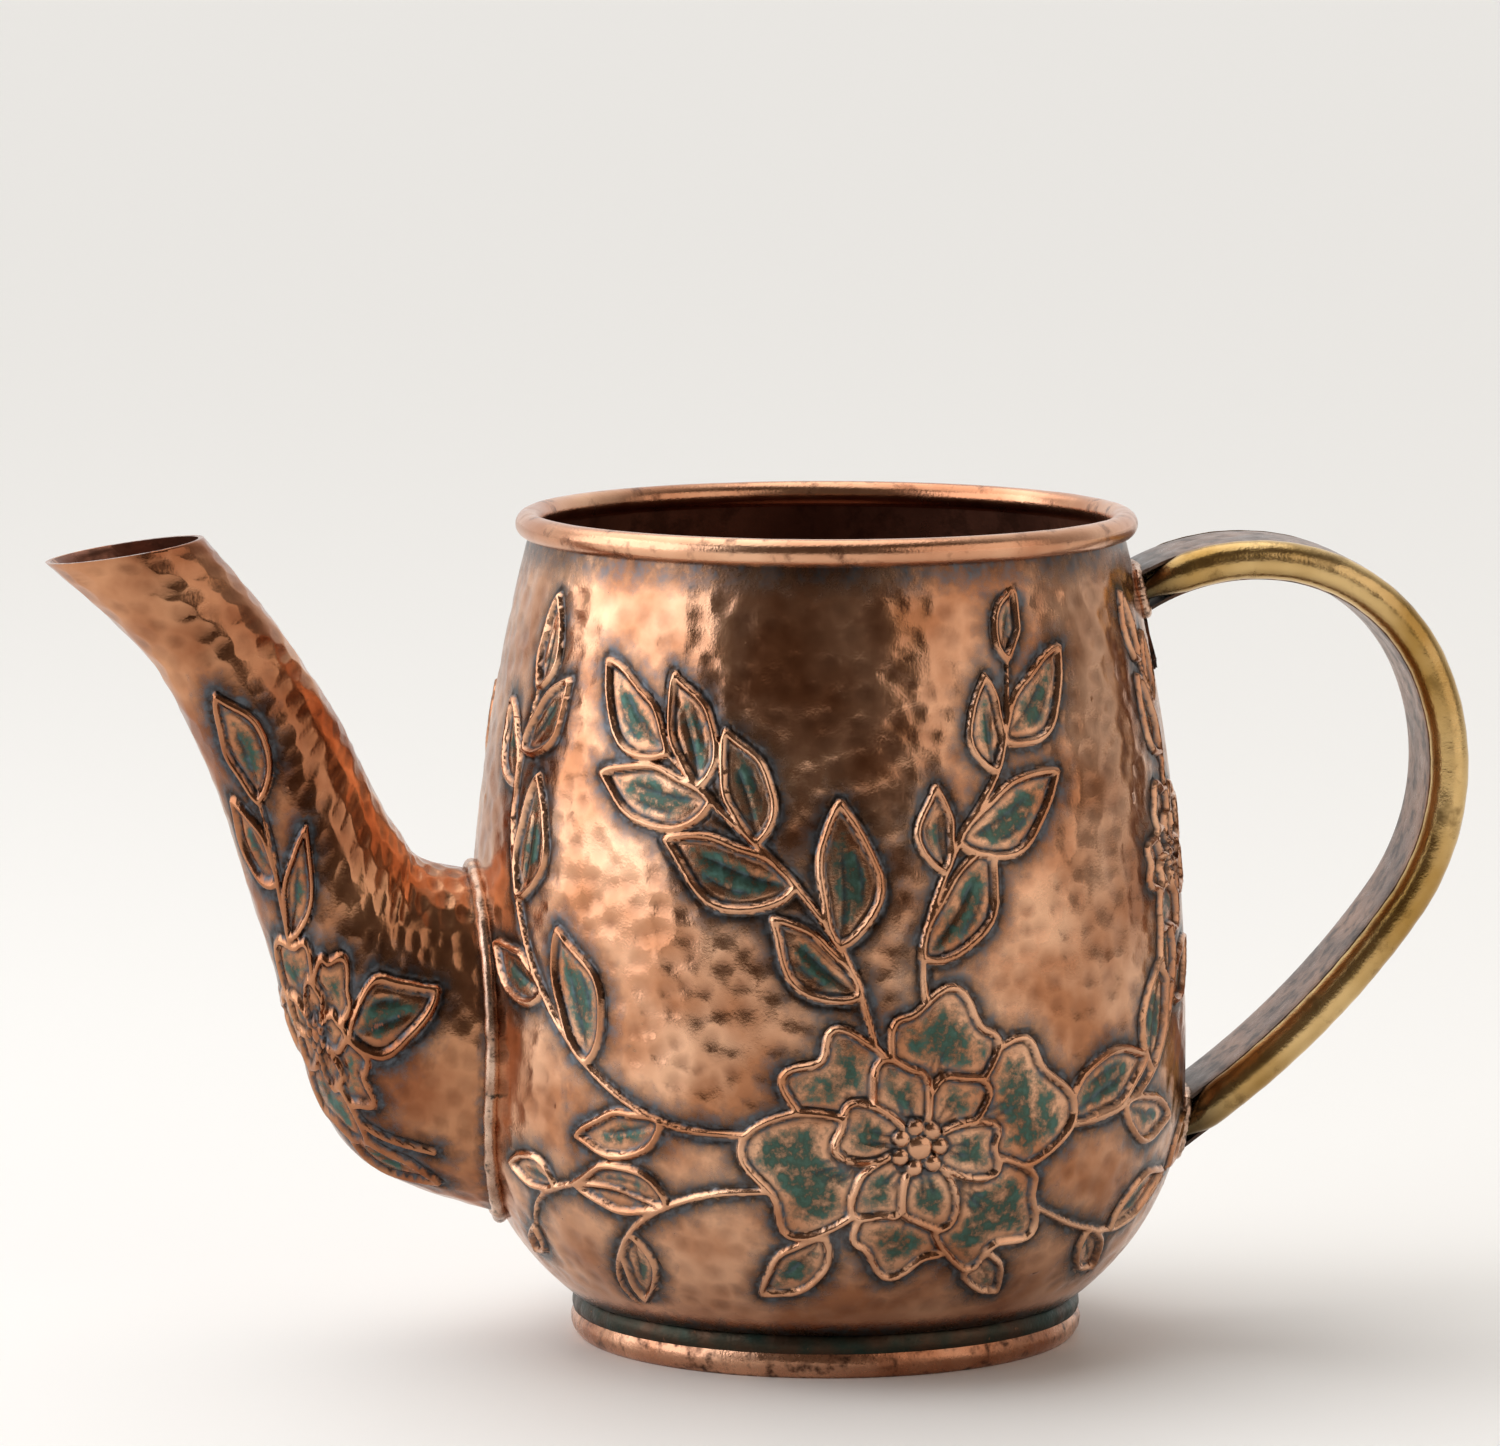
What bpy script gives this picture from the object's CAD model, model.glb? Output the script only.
import math

import bpy
import numpy as np
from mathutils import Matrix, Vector


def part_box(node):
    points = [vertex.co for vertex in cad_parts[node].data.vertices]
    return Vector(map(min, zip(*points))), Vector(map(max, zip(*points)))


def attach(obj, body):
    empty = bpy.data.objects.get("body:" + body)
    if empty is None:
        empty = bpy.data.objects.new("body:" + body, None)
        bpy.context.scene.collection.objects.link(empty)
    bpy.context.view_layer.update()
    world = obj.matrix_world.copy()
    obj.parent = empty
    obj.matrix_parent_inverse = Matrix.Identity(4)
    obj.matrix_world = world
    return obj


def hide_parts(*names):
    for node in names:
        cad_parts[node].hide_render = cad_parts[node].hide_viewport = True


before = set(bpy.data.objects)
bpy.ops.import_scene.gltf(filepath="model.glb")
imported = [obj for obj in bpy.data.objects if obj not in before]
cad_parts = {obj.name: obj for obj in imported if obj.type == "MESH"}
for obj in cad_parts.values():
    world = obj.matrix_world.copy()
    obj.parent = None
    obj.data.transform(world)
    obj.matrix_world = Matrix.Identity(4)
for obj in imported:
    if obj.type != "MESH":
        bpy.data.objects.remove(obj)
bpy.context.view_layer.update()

# A hammered copper watering can: barrel with raised flowers, spout, brass-edged strap handle and foot ring.
# Lengths here are in mm and turn to metres where a mesh is filled.

mm = 0.001
print("frame: %d CAD nodes" % len(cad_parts))


# shaping meshes

def activate(piece):
    bpy.ops.object.select_all(action="DESELECT")
    piece.select_set(True)
    bpy.context.view_layer.objects.active = piece


def tidyMesh(piece):
    # closes the seams where a grid meets itself, then turns all faces outwards
    activate(piece)
    bpy.ops.object.mode_set(mode="EDIT")
    bpy.ops.mesh.select_all(action="SELECT")
    bpy.ops.mesh.remove_doubles(threshold=2e-6)
    bpy.ops.mesh.normals_make_consistent(inside=False)
    bpy.ops.object.mode_set(mode="OBJECT")


def gridPiece(name, rows):
    # a grid whose points are laid on a surface: rows[row, column] is a place in mm
    bpy.ops.object.select_all(action="DESELECT")
    bpy.ops.mesh.primitive_grid_add(
        x_subdivisions=rows.shape[1] - 1, y_subdivisions=rows.shape[0] - 1, size=1)
    piece = bpy.context.object
    piece.name = name
    piece.data.name = name
    piece.data.vertices.foreach_set("co", (rows * mm).astype(np.float32).ravel())
    piece.data.update()
    tidyMesh(piece)
    return piece


def applyModifier(piece, kind, **settings):
    activate(piece)
    modifier = piece.modifiers.new(kind.lower(), kind)
    for key, value in settings.items():
        setattr(modifier, key, value)
    bpy.ops.object.modifier_apply(modifier=modifier.name)


def placesOf(piece):
    places = np.empty(len(piece.data.vertices) * 3, np.float32)
    piece.data.vertices.foreach_get("co", places)
    return places.reshape(-1, 3).astype(float) / mm


def movePlaces(piece, places):
    piece.data.vertices.foreach_set("co", (places * mm).astype(np.float32).ravel())
    piece.data.update()


def storeValues(piece, **fields):
    for name, values in fields.items():
        layer = piece.data.attributes.new(name, "FLOAT", "POINT")
        layer.data.foreach_set("value", np.asarray(values, np.float32).ravel())


def smoothShade(piece, degrees=None):
    activate(piece)
    bpy.ops.object.shade_smooth()
    if degrees:
        bpy.ops.object.shade_smooth_by_angle(angle=math.radians(degrees))


def place(piece, slot, *nodes):
    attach(piece, "root")
    if nodes:
        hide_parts(*nodes)


def ease(low, high, value):
    part = np.clip((value - low) / (high - low), 0, 1)
    return part * part * (3 - 2 * part)


def wander(values, seed, waves, strength):
    # a slow, smooth unevenness from a few sine waves; values run from 0 to 2 pi and join up there
    draw = np.random.default_rng(seed)
    total = np.zeros_like(values, dtype=float)
    for wave in waves:
        total += draw.uniform(0.4, 1) * np.sin(wave * values + draw.uniform(0, 2 * math.pi))
    return strength * total / len(waves)


# materials

def colour(code):
    # sRGB hex to linear
    parts = [int(code[n:n + 2], 16) / 255 for n in (1, 3, 5)]
    linear = [p / 12.92 if p <= 0.04045 else ((p + 0.055) / 1.055) ** 2.4 for p in parts]
    return (*linear, 1.0)


def addNode(tree, kind, settings=None, links=None):
    made = tree.nodes.new(kind)
    for key, value in (settings or {}).items():
        if isinstance(key, int) or key in made.inputs:
            made.inputs[key].default_value = value
        else:
            setattr(made, key, value)
    for key, source in (links or {}).items():
        tree.links.new(source, made.inputs[key])
    return made


def newMaterial(name):
    material = bpy.data.materials.new(name)
    material.use_nodes = True
    tree = material.node_tree
    tree.nodes.clear()
    shader = addNode(tree, "ShaderNodeBsdfPrincipled")
    output = addNode(tree, "ShaderNodeOutputMaterial")
    tree.links.new(shader.outputs[0], output.inputs[0])
    return material, tree, shader


def perMetre(sizeInMm):
    # a pattern's scale for marks of this size, on Object coordinates in metres
    return 1 / (sizeInMm * mm)


reliefFields = ("patina", "verdigris", "polish", "dish")  # stored on the relief, read by the hammered copper

hammeredLook = dict(
    bright="#DBAA88", warm="#AB7452", brown="#5C3222", patina="#191D1E", slate="#4A565E",
    verdigris="#356759", deepGreen="#112D27", cloud=16.0, mottle=2.8, pit=0.55, rub=6.0,
    streak=(9.0, 9.0, 0.5), brownMost=0.62, greenMost=0.95, patinaMost=0.93, greenMetallic=0.72,
    roughness=(0.15, 0.26), mattRoughness=0.12, bump=0.24, bumpDepth=0.12)
spoutLook = dict(hammeredLook, bright="#C48E69", warm="#935C3E", brown="#4B271A")  # less rubbed, so browner


def hammeredCopper(name, look):
    # Planished and chased copper sheet, patinated and rubbed back: bright on ridges and between the hammer's
    # dishes, black in the chased lines, with verdigris left in the leaves.
    material, tree, shader = newMaterial(name)
    where = addNode(tree, "ShaderNodeTexCoord").outputs["Object"]
    patina, green, polish, dish = [
        addNode(tree, "ShaderNodeAttribute", {"attribute_name": field}).outputs["Fac"]
        for field in reliefFields]
    cloud = addNode(tree, "ShaderNodeTexNoise", {"Scale": perMetre(look["cloud"]), "Detail": 4.0},
                    {"Vector": where}).outputs["Fac"]
    mottle = addNode(tree, "ShaderNodeTexNoise", {"Scale": perMetre(look["mottle"]), "Detail": 5.0,
                                                  "Roughness": 0.65}, {"Vector": where}).outputs["Fac"]
    # clean metal: two copper tones in clouds, browner at the bottom of some dishes
    cloudPart = addNode(tree, "ShaderNodeMapRange", {1: 0.36, 2: 0.64}, {0: cloud}).outputs[0]
    clean = addNode(tree, "ShaderNodeMix", {"data_type": "RGBA", 6: colour(look["bright"]),
                                            7: colour(look["warm"])}, {0: cloudPart}).outputs[2]
    mottlePart = addNode(tree, "ShaderNodeMapRange", {1: 0.42, 2: 0.66}, {0: mottle}).outputs[0]
    brownPart = addNode(tree, "ShaderNodeMapRange", {3: 0.0, 4: look["brownMost"]}, {0: dish}).outputs[0]
    metal = addNode(tree, "ShaderNodeMix", {"data_type": "RGBA", 7: colour(look["brown"])},
                    {0: brownPart, 6: clean}).outputs[2]
    # verdigris in the leaves, broken up by the mottle
    greenTone = addNode(tree, "ShaderNodeMix", {"data_type": "RGBA", 6: colour(look["deepGreen"]),
                                                7: colour(look["verdigris"])}, {0: mottlePart}).outputs[2]
    greenEdge = addNode(tree, "ShaderNodeMath", {"operation": "MULTIPLY_ADD", 1: 2.2, 2: -1.15},
                        {0: mottle}).outputs[0]
    greenSum = addNode(tree, "ShaderNodeMath", {"operation": "ADD"}, {0: green, 1: greenEdge}).outputs[0]
    greenPart = addNode(tree, "ShaderNodeMapRange", {1: 0.35, 2: 0.95, 3: 0.0, 4: look["greenMost"]},
                        {0: greenSum}).outputs[0]
    greened = addNode(tree, "ShaderNodeMix", {"data_type": "RGBA"},
                      {0: greenPart, 6: metal, 7: greenTone}).outputs[2]
    # black and slate-blue patina in and beside the chased lines
    patinaTone = addNode(tree, "ShaderNodeMix", {"data_type": "RGBA", 6: colour(look["patina"]),
                                                 7: colour(look["slate"])}, {0: mottlePart}).outputs[2]
    patinaEdge = addNode(tree, "ShaderNodeMath", {"operation": "MULTIPLY_ADD", 1: 0.7, 2: -0.35},
                         {0: mottle}).outputs[0]
    patinaSum = addNode(tree, "ShaderNodeMath", {"operation": "ADD"}, {0: patina, 1: patinaEdge}).outputs[0]
    patinaPart = addNode(tree, "ShaderNodeMapRange", {1: 0.22, 2: 0.8, 3: 0.0, 4: look["patinaMost"]},
                         {0: patinaSum}).outputs[0]
    darkened = addNode(tree, "ShaderNodeMix", {"data_type": "RGBA"},
                       {0: patinaPart, 6: greened, 7: patinaTone}).outputs[2]
    # ridges rubbed bright
    finished = addNode(tree, "ShaderNodeMix", {"data_type": "RGBA"},
                       {0: polish, 6: darkened, 7: clean}).outputs[2]
    tree.links.new(finished, shader.inputs["Base Color"])
    dull = addNode(tree, "ShaderNodeMath", {"operation": "MAXIMUM"}, {0: greenPart, 1: patinaPart}).outputs[0]
    notPolished = addNode(tree, "ShaderNodeMath", {"operation": "SUBTRACT", 0: 1.0}, {1: polish}).outputs[0]
    matt = addNode(tree, "ShaderNodeMath", {"operation": "MULTIPLY"}, {0: dull, 1: notPolished}).outputs[0]
    mineral = addNode(tree, "ShaderNodeMath", {"operation": "MULTIPLY"},
                      {0: greenPart, 1: notPolished}).outputs[0]
    metallic = addNode(tree, "ShaderNodeMapRange", {3: 1.0, 4: look["greenMetallic"]},
                       {0: mineral}).outputs[0]
    tree.links.new(metallic, shader.inputs["Metallic"])
    low, high = look["roughness"]
    gloss = addNode(tree, "ShaderNodeMapRange", {1: 0.3, 2: 0.7, 3: low, 4: high}, {0: mottle}).outputs[0]
    roughness = addNode(tree, "ShaderNodeMath", {"operation": "MULTIPLY_ADD", 1: look["mattRoughness"]},
                        {0: matt, 2: gloss}).outputs[0]
    tree.links.new(roughness, shader.inputs["Roughness"])
    # pits of the metal, and faint upright marks of rubbing back
    pits = addNode(tree, "ShaderNodeTexNoise", {"Scale": perMetre(look["pit"]), "Detail": 3.0},
                   {"Vector": where}).outputs["Fac"]
    stretched = addNode(tree, "ShaderNodeMapping", {"Scale": look["streak"]}, {"Vector": where}).outputs[0]
    rubbed = addNode(tree, "ShaderNodeTexNoise", {"Scale": perMetre(look["rub"]), "Detail": 3.0},
                     {"Vector": stretched}).outputs["Fac"]
    grain = addNode(tree, "ShaderNodeMath", {"operation": "MULTIPLY_ADD", 1: 0.5},
                    {0: rubbed, 2: pits}).outputs[0]
    bump = addNode(tree, "ShaderNodeBump", {"Strength": look["bump"], "Distance": look["bumpDepth"] * mm},
                   {"Height": grain}).outputs[0]
    tree.links.new(bump, shader.inputs["Normal"])
    return material


def workedMetal(name, look):
    # Metal with two clean tones and tarnish in blotches. Each use says what the real one is.
    material, tree, shader = newMaterial(name)
    where = addNode(tree, "ShaderNodeTexCoord").outputs["Object"]
    cloud = addNode(tree, "ShaderNodeTexNoise", {"Scale": perMetre(look["cloud"]), "Detail": 4.0},
                    {"Vector": where}).outputs["Fac"]
    spots = addNode(tree, "ShaderNodeTexNoise", {"Scale": perMetre(look["spot"]), "Detail": 6.0,
                                                 "Roughness": 0.6}, {"Vector": where}).outputs["Fac"]
    cloudPart = addNode(tree, "ShaderNodeMapRange", {1: 0.35, 2: 0.65}, {0: cloud}).outputs[0]
    clean = addNode(tree, "ShaderNodeMix", {"data_type": "RGBA", 6: colour(look["tones"][0]),
                                            7: colour(look["tones"][1])}, {0: cloudPart}).outputs[2]
    edge = look["tarnishFrom"]
    tarnish = addNode(tree, "ShaderNodeMapRange", {1: edge, 2: edge + 0.14, 3: 0.0, 4: look["tarnishMost"]},
                      {0: spots}).outputs[0]
    stained = addNode(tree, "ShaderNodeMix", {"data_type": "RGBA", 7: colour(look["tarnish"])},
                      {0: tarnish, 6: clean}).outputs[2]
    shade = stained
    if "shade" in look:  # a stored value darkens some places, such as ends and creases
        worn = addNode(tree, "ShaderNodeAttribute", {"attribute_name": "shade"}).outputs["Fac"]
        shade = addNode(tree, "ShaderNodeMix", {"data_type": "RGBA", 7: colour(look["shade"])},
                        {0: worn, 6: stained}).outputs[2]
    tree.links.new(shade, shader.inputs["Base Color"])
    shader.inputs["Metallic"].default_value = look.get("metallic", 1.0)
    low, high = look["roughness"]
    roughness = addNode(tree, "ShaderNodeMapRange", {1: 0.3, 2: 0.7, 3: low, 4: high}, {0: spots}).outputs[0]
    tree.links.new(roughness, shader.inputs["Roughness"])
    fine = addNode(tree, "ShaderNodeTexNoise", {"Scale": perMetre(look["pit"]), "Detail": 4.0},
                   {"Vector": where}).outputs["Fac"]
    bump = addNode(tree, "ShaderNodeBump", {"Strength": look["bump"], "Distance": 0.2 * mm},
                   {"Height": fine}).outputs[0]
    tree.links.new(bump, shader.inputs["Normal"])
    return material


# hammer marks

def hammerDishes(turn, along, radius, rowRadius, blow):
    # Overlapping blows of a round-faced hammer leave shallow dishes with sharp borders. turn is in radians,
    # along and radius in mm, and rowRadius gives the radius at a row of blows. Returns the depth in mm, how
    # deep in its dish a place is, from 0 on a border to 1, and a tone that differs from dish to dish.
    draw = np.random.default_rng(blow["seed"])
    rowPitch = blow["size"] * 0.87
    rows = int(along.max() / rowPitch) + 4
    shift = draw.uniform(-0.4, 0.4, (rows, 64, 2))
    lift = draw.uniform(0, 1, (rows, 64))
    start = draw.uniform(0, 1, rows)
    bowl = blow["depth"] / (blow["size"] / 2) ** 2
    around = [2 * math.pi * rowRadius((n - 1) * rowPitch) for n in range(rows)]
    cellsInRow = np.array([round(length / blow["size"]) for length in around])
    ownRow = np.floor(along / rowPitch).astype(int) + 1
    best = np.full(along.shape, 1e3)
    tone = np.zeros(along.shape)
    for rowStep in (-1, 0, 1):
        row = np.clip(ownRow + rowStep, 0, rows - 1)
        cells = cellsInRow[row]
        ownCell = np.floor(turn / (2 * math.pi) * cells - start[row])
        for cellStep in (-1, 0, 1):
            cell = ownCell + cellStep
            index = np.mod(cell, cells).astype(int) % 64
            across = (turn - (cell + 0.5 + start[row] + shift[row, index, 0]) / cells * 2 * math.pi) * radius
            up = along - (row - 0.5 + shift[row, index, 1]) * rowPitch
            fall = bowl * (across ** 2 + up ** 2) + blow["uneven"] * lift[row, index]
            tone = np.where(fall < best, lift[row, index], tone)
            best = np.minimum(best, fall)
    best = np.minimum(best, 1.15 * blow["depth"])  # what no blow reached stays nearly level
    return best - blow["depth"], np.clip(1 - best / blow["depth"], 0, 1), tone


def dishShade(dish, tone):
    # brown left at the bottom of the dishes, more in some than in others
    return ease(0.05, 0.85, dish) * (0.28 + 0.72 * tone ** 2)


# raised flowers and leaves, drawn on flat patches in mm

chasing = dict(
    ridge=0.76, rise=0.85, groove=0.38, grooveWidth=0.75, dish=0.36, deepest=0.7, clear=2.6,
    halo=3.8, haloInside=0.25, haloFall=1.15, cutPatina=0.75, insidePatina=0.24)
leafShape = dict(fullness=0.2, ruffle=0.08, groove=(0.42, 0.62), sideGroove=(0.22, 0.5), sideGrooveFrom=20)
petalShape = dict(groove=(0.34, 0.55), grooveFrom=0.15, grooveTo=0.72)


def newPatch(low, high, pitch):
    across = np.arange(low[0], high[0] + pitch, pitch)
    up = np.arange(low[1], high[1] + pitch, pitch)
    x, y = np.meshgrid(across, up)
    patch = dict(x=x, y=y, pitch=pitch, low=low)
    patch["rise"] = np.zeros_like(x)         # height of the raised lines
    patch["gap"] = np.full_like(x, 50.0)     # distance from the nearest raised line's edge
    patch["level"] = np.zeros_like(x)        # dished leaves and petals, and fine veins
    patch["inside"] = np.zeros_like(x)       # 1 inside leaves and petals
    patch["cut"] = np.zeros_like(x)          # 1 at the bottom of a cut groove
    return patch


def windowOf(patch, points, reach=7.0):
    low = (points.min(0) - reach - patch["low"]) / patch["pitch"]
    high = (points.max(0) + reach - patch["low"]) / patch["pitch"]
    first = np.maximum(low.astype(int), 0)
    last = np.maximum(high.astype(int) + 1, 0)
    return slice(first[1], last[1]), slice(first[0], last[0])


def lineDistance(x, y, points):
    # distance to a run of points, and how far along the run the nearest place is
    nearest = np.full(x.shape, 1e3)
    along = np.zeros(x.shape)
    steps = len(points) - 1
    for number in range(steps):
        (ax, ay), (bx, by) = points[number], points[number + 1]
        dx, dy = bx - ax, by - ay
        part = np.clip(((x - ax) * dx + (y - ay) * dy) / (dx * dx + dy * dy + 1e-9), 0, 1)
        distance = np.hypot(x - ax - part * dx, y - ay - part * dy)
        nearer = distance < nearest
        nearest = np.where(nearer, distance, nearest)
        along = np.where(nearer, (number + part) / steps, along)
    return nearest, along


def isInside(x, y, points):
    odd = np.zeros(x.shape, bool)
    for (ax, ay), (bx, by) in zip(points[:-1], points[1:]):
        if ay != by:
            odd ^= ((ay > y) != (by > y)) & (x < (bx - ax) * (y - ay) / (by - ay) + ax)
    return odd


def raiseLine(patch, points, width, ends):
    # a rounded ridge whose width tapers to a share of itself at the start and the end
    win = windowOf(patch, points)
    distance, along = lineDistance(patch["x"][win], patch["y"][win], points)
    taper = ends[0] + (1 - ends[0]) * ease(0, 0.3, along)
    taper = np.minimum(taper, ends[1] + (1 - ends[1]) * ease(0, 0.3, 1 - along))
    half = chasing["ridge"] * width * taper
    rise = chasing["rise"] * np.sqrt(width * taper) * np.clip(1 - (distance / half) ** 2, 0, 1) ** 0.85
    patch["rise"][win] = np.maximum(patch["rise"][win], rise)
    patch["gap"][win] = np.minimum(patch["gap"][win], distance - half)


def cutGroove(patch, points, depth, width):
    # a line cut into the sheet, which holds its patina
    win = windowOf(patch, points, 3.0)
    distance, along = lineDistance(patch["x"][win], patch["y"][win], points)
    cut = ease(0, 0.15, along) * ease(0, 0.3, 1 - along) * np.exp(-(distance / width) ** 2)
    patch["level"][win] -= depth * cut
    patch["cut"][win] = np.maximum(patch["cut"][win], cut)


def raiseShape(patch, outline, width=1.0):
    # a leaf or petal laid over what is under it: dished inside, with a raised edge
    win = windowOf(patch, outline)
    x, y = patch["x"][win], patch["y"][win]
    inside = isInside(x, y, outline)
    distance = lineDistance(x, y, outline)[0]
    patch["rise"][win] = np.where(inside, 0, patch["rise"][win])
    patch["gap"][win] = np.where(inside, 50, patch["gap"][win])
    patch["level"][win] = np.where(inside, -chasing["dish"] * ease(0, 2.6, distance), patch["level"][win])
    patch["inside"][win] = np.where(inside, 1, patch["inside"][win])
    patch["cut"][win] = np.where(inside, 0, patch["cut"][win])
    half = chasing["ridge"] * width
    rise = chasing["rise"] * np.clip(1 - (distance / half) ** 2, 0, 1) ** 0.85
    patch["rise"][win] = np.maximum(patch["rise"][win], rise)
    patch["gap"][win] = np.minimum(patch["gap"][win], distance - half)


def smoothLine(points, step=1.2):
    # a curve through a few points
    points = np.asarray(points, float)
    ends = np.vstack([2 * points[0] - points[1], points, 2 * points[-1] - points[-2]])
    made = []
    for number in range(1, len(ends) - 2):
        a, b, c, d = ends[number - 1:number + 3]
        count = max(2, int(np.linalg.norm(c - b) / step))
        for part in np.arange(count) / count:
            made.append(0.5 * (2 * b + (c - a) * part + (2 * a - 5 * b + 4 * c - d) * part ** 2
                               + (3 * b - a - 3 * c + d) * part ** 3))
    made.append(points[-1])
    return np.array(made)


def bentLine(base, heading, length, bend, count=18):
    # a line that leaves its base at a heading and turns evenly by bend; angles in degrees
    share = np.arange(count) / count
    angles = np.radians(heading + bend * share - 1.1 * bend * share ** 5)  # the tip flicks back
    steps = np.stack([np.cos(angles), np.sin(angles)], 1) * length / count
    return np.vstack([base, base + np.cumsum(steps, 0)])


def leaf(patch, base, heading, length, width, bend):
    # fuller on the outside of its bend, with a groove along its middle
    middle = bentLine(np.asarray(base, float), heading, length, bend)
    part = np.linspace(0, 1, len(middle))
    half = width / 2 * np.sin(math.pi * part ** 0.85) ** 0.9
    along = np.gradient(middle, axis=0)
    side = np.stack([-along[:, 1], along[:, 0]], 1) / np.linalg.norm(along, axis=1)[:, None]
    fuller = leafShape["fullness"] if bend > 0 else -leafShape["fullness"]
    left = half * (1 - fuller + leafShape["ruffle"] * np.sin(9 * part + length))
    right = half * (1 + fuller + leafShape["ruffle"] * np.sin(11 * part + 2 * length))
    outline = np.vstack([middle + side * left[:, None], (middle - side * right[:, None])[::-1]])
    raiseShape(patch, outline, 0.8 + 0.01 * length)
    cutGroove(patch, middle[1:15], *leafShape["groove"])
    if length > leafShape["sideGrooveFrom"]:
        wider = middle - side * (0.5 * right if bend > 0 else -0.5 * left)[:, None]
        cutGroove(patch, wider[5:14], *leafShape["sideGroove"])


def petal(patch, base, heading, length, width, ruffle, grooves):
    # ruffle is (lobes, depth, shift) of the petal's outer edge
    turn = np.linspace(0, 2 * math.pi, 73)
    out = (1 - np.cos(turn)) / 2
    across = width / 2 * np.sin(turn) * (0.4 + 0.75 * out)
    lobes, deep, shift = ruffle
    wave = 1 + deep * out ** 3 * np.sin(lobes * (turn - math.pi) + shift)
    angle = math.radians(heading)
    forward = np.array([math.cos(angle), math.sin(angle)])
    sideways = np.array([-forward[1], forward[0]])
    outline = np.asarray(base, float) + (length * out * wave)[:, None] * forward
    outline = outline + (across * wave)[:, None] * sideways
    raiseShape(patch, outline)
    for number in range(grooves):
        off = number - (grooves - 1) / 2
        spread = off / grooves * width * 0.8
        part = np.linspace(petalShape["grooveFrom"], petalShape["grooveTo"] - 0.09 * abs(off), 9)[:, None]
        line = base + part * length * forward + part ** 1.5 * spread * sideways
        cutGroove(patch, line, *petalShape["groove"])


def blossom(patch, centre, radius, petals, turned):
    # two rings of petals about a seeded heart
    centre = np.asarray(centre, float)
    for number in range(petals):
        heading = turned + 360 * number / petals + 5 * math.sin(3.7 * number)
        size = radius * (0.98 + 0.13 * math.sin(2.4 * number + 1))
        angle = math.radians(heading)
        start = centre + 0.1 * radius * np.array([math.cos(angle), math.sin(angle)])
        petal(patch, start, heading, size * 0.92, size * 0.9, (4 + number % 3, 0.1, 1.9 * number), 5)
    for number in range(petals):
        heading = turned + 360 * (number + 0.5) / petals + 6 * math.sin(2.9 * number)
        petal(patch, centre, heading, radius * 0.58, radius * 0.45, (3 + number % 2, 0.09, 2.3 * number), 2)
    for number in range(7):
        angle = 2 * math.pi * number / 7
        spot = centre + radius * 0.14 * np.array([math.cos(angle), math.sin(angle)])
        raiseDome(patch, spot, 0.045 * radius + 0.3)
    raiseDome(patch, centre, 0.08 * radius)


def raiseDome(patch, centre, radius):
    # a seed in a flower's heart
    centre = np.asarray(centre, float)
    win = windowOf(patch, centre[None], radius + 5)
    distance = np.hypot(patch["x"][win] - centre[0], patch["y"][win] - centre[1])
    patch["inside"][win] = np.where(distance < radius + 0.5, 0, patch["inside"][win])
    patch["level"][win] = np.where(distance < radius, 0, patch["level"][win])
    dome = 0.95 * chasing["rise"] * np.sqrt(np.clip(1 - (distance / radius) ** 2, 0, 1))
    patch["rise"][win] = np.where(distance < radius + 0.4, dome, patch["rise"][win])
    patch["gap"][win] = np.where(distance < radius, distance - radius,
                                 np.minimum(patch["gap"][win], distance - radius))


def vine(patch, points, leaves, width=0.9):
    # a stem with leaves at shares of its length: (share, side, leaf length); side 1 is to the left of it
    line = smoothLine(points)
    raiseLine(patch, line, width, (0.9, 0.45))
    for share, turn, length in leaves:
        number = min(int(share * (len(line) - 1)), len(line) - 2)
        ahead = line[number + 1] - line[number]
        heading = math.degrees(math.atan2(ahead[1], ahead[0]))
        heading += turn * (42 if share < 1 else 6)
        leaf(patch, line[number], heading, length, length * 0.42, -turn * 32)


def finishPatch(patch):
    # adds up the relief and works out where patina, verdigris and polish go
    outside = np.clip(patch["gap"], 0, None)
    patch["height"] = patch["rise"] + patch["level"]
    beside = np.exp(-(outside / chasing["grooveWidth"]) ** 2) * (patch["gap"] > 0)
    patch["height"] -= chasing["groove"] * beside
    patch["height"] = np.maximum(patch["height"], -chasing["deepest"])  # the sheet is never cut through
    # the halo is wide on the ground and a thin line inside a leaf
    halo = np.where(patch["inside"] > 0, chasing["haloInside"] * chasing["halo"], chasing["halo"])
    crest = patch["rise"] / chasing["rise"]
    patch["patina"] = np.exp(-(outside / halo) ** chasing["haloFall"]) * (1 - ease(0.1, 0.5, crest))
    recess = np.maximum(chasing["cutPatina"] * patch["cut"], chasing["insidePatina"] * patch["inside"])
    patch["patina"] = np.maximum(patch["patina"], recess)
    pooled = 0.35 * ease(0.1, 0.8, patch["gap"]) + 0.65 * ease(0.6, 2.8, patch["gap"])
    patch["verdigris"] = patch["inside"] * pooled
    patch["polish"] = ease(0.45, 0.9, crest)
    patch["plain"] = ease(0.2, chasing["clear"], patch["gap"]) * (1 - patch["inside"])
    return patch


def readPatch(patch, x, y):
    # the finished fields between the patch's points
    rows, columns = patch["x"].shape
    across = np.clip((x - patch["low"][0]) / patch["pitch"], 0, columns - 1.001)
    up = np.clip((y - patch["low"][1]) / patch["pitch"], 0, rows - 1.001)
    column, row = across.astype(int), up.astype(int)
    fx, fy = across - column, up - row
    fields = {}
    for name in ("height", "patina", "verdigris", "polish", "plain"):
        field = patch[name]
        lower = field[row, column] * (1 - fx) + field[row, column + 1] * fx
        upper = field[row + 1, column] * (1 - fx) + field[row + 1, column + 1] * fx
        fields[name] = lower * (1 - fy) + upper * fy
    return fields


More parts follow.
